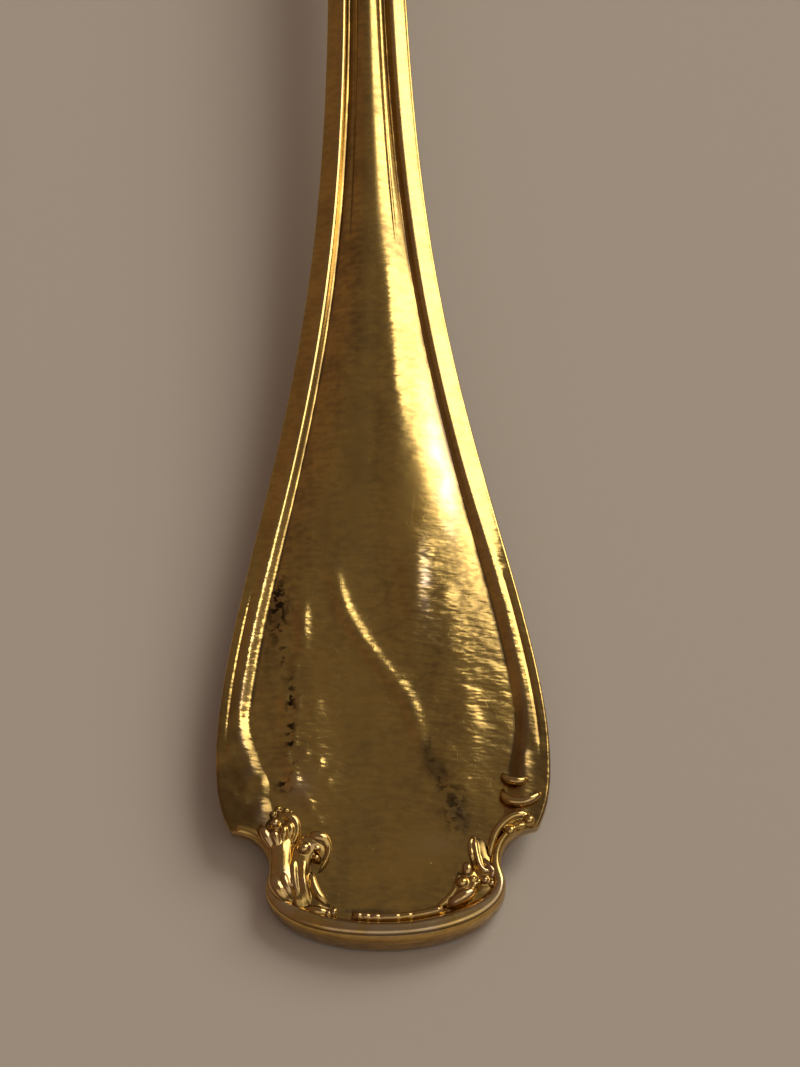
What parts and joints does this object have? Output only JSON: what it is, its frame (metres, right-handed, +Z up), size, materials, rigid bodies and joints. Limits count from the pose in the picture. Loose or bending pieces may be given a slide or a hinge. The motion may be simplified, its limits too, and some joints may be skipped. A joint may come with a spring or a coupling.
{
  "type": "demitasse spoon",
  "caption": "Small gilt coffee spoon with an oval bowl, a slim threaded stem and a flared terminal that ends in scrolled shoulders and a lobed, rimmed tip.",
  "frame": {"origin": "on the table, below the middle of the spoon's box", "axes": "+Z up, +Y along the spoon from the handle's tip to the bowl, +X to the right seen from the tip; the spoon is symmetric about X = 0"},
  "size_m": [0.0216, 0.1078, 0.0061],
  "materials": {
    "gilt_body": "gold plate, polished, with fine scratches and mottled wear",
    "gilt_mouldings": "gold plate, bright polished relief",
    "worn_rim": "gold plate rubbed thin, with the pale metal showing on the crest"
  },
  "bodies": {
    "root": {"bowl": "gilt_body", "handle_blank": "gilt_body", "right_thread": "gilt_mouldings", "left_thread": "gilt_mouldings", "right_knuckles": "gilt_mouldings", "left_knuckles": "gilt_mouldings", "right_leaf": "gilt_mouldings", "left_leaf": "gilt_mouldings", "right_curl": "gilt_mouldings", "left_curl": "gilt_mouldings", "tip_bead": "gilt_mouldings", "tip_rim": "worn_rim"}
  },
  "joints": []
}
